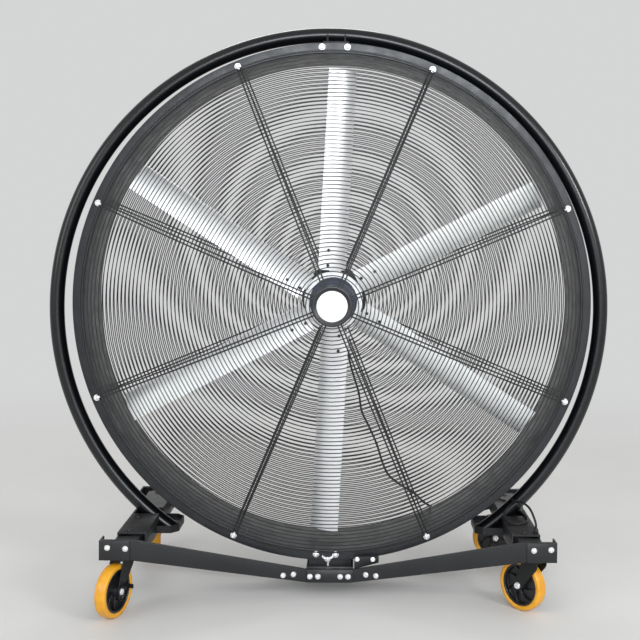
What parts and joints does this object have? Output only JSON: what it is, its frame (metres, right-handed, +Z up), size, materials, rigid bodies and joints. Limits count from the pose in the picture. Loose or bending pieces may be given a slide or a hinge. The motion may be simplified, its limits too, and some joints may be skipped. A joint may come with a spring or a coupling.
{
  "type": "drum fan",
  "caption": "Large round drum fan with wire guards and aluminium blades, held in a tube hoop on a folded steel base with swivel casters and wheel brakes.",
  "frame": {"origin": "on the floor, under the middle of the hoop, which is the middle of the whole fan", "axes": "+Z up, -Y the way the air blows and the front guard faces, +X to the right of someone who faces the front guard"},
  "size_m": [2.3261, 0.9715, 2.3182],
  "materials": {
    "powder_coat": "charcoal satin powder coat with a fine grain",
    "hoop_paint": "black gloss paint",
    "guard_wire": "black semi-gloss coated wire",
    "blade_metal": "extruded aluminium, satin",
    "motor_paint": "dark blue-grey enamel",
    "steel": "bright zinc plate",
    "stator_iron": "laminated iron and varnished copper winding",
    "black_plastic": "moulded black plastic",
    "white_plastic": "white gloss plastic",
    "yellow_tread": "cast yellow polyurethane, glossy",
    "cable": "black rubber sheath"
  },
  "bodies": {
    "frame": {"drum_shell": "powder_coat", "front_guard": "guard_wire", "rear_guard": "guard_wire", "guard_centre_disc": "black_plastic", "hub_cap": "white_plastic", "motor_plate": "powder_coat", "motor_shaft": "steel", "motor_stator": "stator_iron", "front_bearing": "steel", "rear_bearing": "steel", "hoop_main": "hoop_paint", "hoop_foot": "hoop_paint", "hoop_spigot": "steel", "top_bracket": "powder_coat", "bottom_bracket": "powder_coat", "saddle": "powder_coat", "arm_lug": "powder_coat", "front_splice_plate": "powder_coat", "rear_splice_plate": "powder_coat", "front_arm_left": "powder_coat", "end_bracket_front_left": "powder_coat", "front_arm_right": "powder_coat", "end_bracket_front_right": "powder_coat", "rear_arm_left": "powder_coat", "end_bracket_rear_left": "powder_coat", "rear_arm_right": "powder_coat", "end_bracket_rear_right": "powder_coat", "side_member_left": "powder_coat", "foot_plate_left": "powder_coat", "side_member_right": "powder_coat", "foot_plate_right": "powder_coat", "caster_front_left_mount": "powder_coat", "caster_front_right_mount": "powder_coat", "caster_rear_right_mount": "powder_coat", "caster_rear_left_mount": "powder_coat", "motor_lead": "cable", "lead_gland": "black_plastic"},
    "rotor": {"rotor_housing": "motor_paint", "rotor_cover": "motor_paint", "blade_hub": "motor_paint", "blade_1": "blade_metal", "blade_2": "blade_metal", "blade_3": "blade_metal", "blade_4": "blade_metal", "blade_5": "blade_metal", "blade_6": "blade_metal"},
    "caster_front_left_swivel": {"caster_front_left_fork": "powder_coat"},
    "caster_front_left_wheel": {"caster_front_left_wheel_core": "black_plastic", "caster_front_left_wheel_tread": "yellow_tread"},
    "caster_front_left_brake": {"caster_front_left_brake_pedal": "powder_coat"},
    "caster_front_right_swivel": {"caster_front_right_fork": "powder_coat"},
    "caster_front_right_wheel": {"caster_front_right_wheel_core": "black_plastic", "caster_front_right_wheel_tread": "yellow_tread"},
    "caster_front_right_brake": {"caster_front_right_brake_pedal": "powder_coat"},
    "caster_rear_right_swivel": {"caster_rear_right_fork": "powder_coat"},
    "caster_rear_right_wheel": {"caster_rear_right_wheel_core": "black_plastic", "caster_rear_right_wheel_tread": "yellow_tread"},
    "caster_rear_left_swivel": {"caster_rear_left_fork": "powder_coat"},
    "caster_rear_left_wheel": {"caster_rear_left_wheel_core": "black_plastic", "caster_rear_left_wheel_tread": "yellow_tread"}
  },
  "joints": [
    {"name": "fan_spin", "type": "hinge", "parent": "frame", "child": "rotor", "pos_m": [0.014, 0, 1.187], "axis": [0, 1, 0], "continuous": true},
    {"name": "caster_front_left_swivel_turn", "type": "hinge", "parent": "frame", "child": "caster_front_left_swivel", "pos_m": [-0.783, -0.33, 0.21], "axis": [0, 0, 1], "continuous": true},
    {"name": "caster_front_left_wheel_roll", "type": "hinge", "parent": "caster_front_left_swivel", "child": "caster_front_left_wheel", "pos_m": [-0.80284, -0.3845, 0.1], "axis": [0.9397, -0.342, 0], "continuous": true},
    {"name": "caster_front_left_brake_press", "type": "hinge", "parent": "caster_front_left_swivel", "child": "caster_front_left_brake", "pos_m": [-0.80284, -0.3845, 0.1], "axis": [-0.9397, 0.342, 0], "range_deg": [0, 20]},
    {"name": "caster_front_right_swivel_turn", "type": "hinge", "parent": "frame", "child": "caster_front_right_swivel", "pos_m": [0.811, -0.33, 0.21], "axis": [0, 0, 1], "continuous": true},
    {"name": "caster_front_right_wheel_roll", "type": "hinge", "parent": "caster_front_right_swivel", "child": "caster_front_right_wheel", "pos_m": [0.77295, -0.28623, 0.1], "axis": [-0.7547, -0.6561, 0], "continuous": true},
    {"name": "caster_front_right_brake_press", "type": "hinge", "parent": "caster_front_right_swivel", "child": "caster_front_right_brake", "pos_m": [0.77295, -0.28623, 0.1], "axis": [0.7547, 0.6561, 0], "range_deg": [0, 20]},
    {"name": "caster_rear_right_swivel_turn", "type": "hinge", "parent": "frame", "child": "caster_rear_right_swivel", "pos_m": [0.811, 0.33, 0.21], "axis": [0, 0, 1], "continuous": true},
    {"name": "caster_rear_right_wheel_roll", "type": "hinge", "parent": "caster_rear_right_swivel", "child": "caster_rear_right_wheel", "pos_m": [0.75304, 0.33202, 0.1], "axis": [-0.0349, -0.9994, 0], "continuous": true},
    {"name": "caster_rear_left_swivel_turn", "type": "hinge", "parent": "frame", "child": "caster_rear_left_swivel", "pos_m": [-0.783, 0.33, 0.21], "axis": [0, 0, 1], "continuous": true},
    {"name": "caster_rear_left_wheel_roll", "type": "hinge", "parent": "caster_rear_left_swivel", "child": "caster_rear_left_wheel", "pos_m": [-0.79801, 0.38602, 0.1], "axis": [-0.9659, -0.2588, 0], "continuous": true}
  ]
}
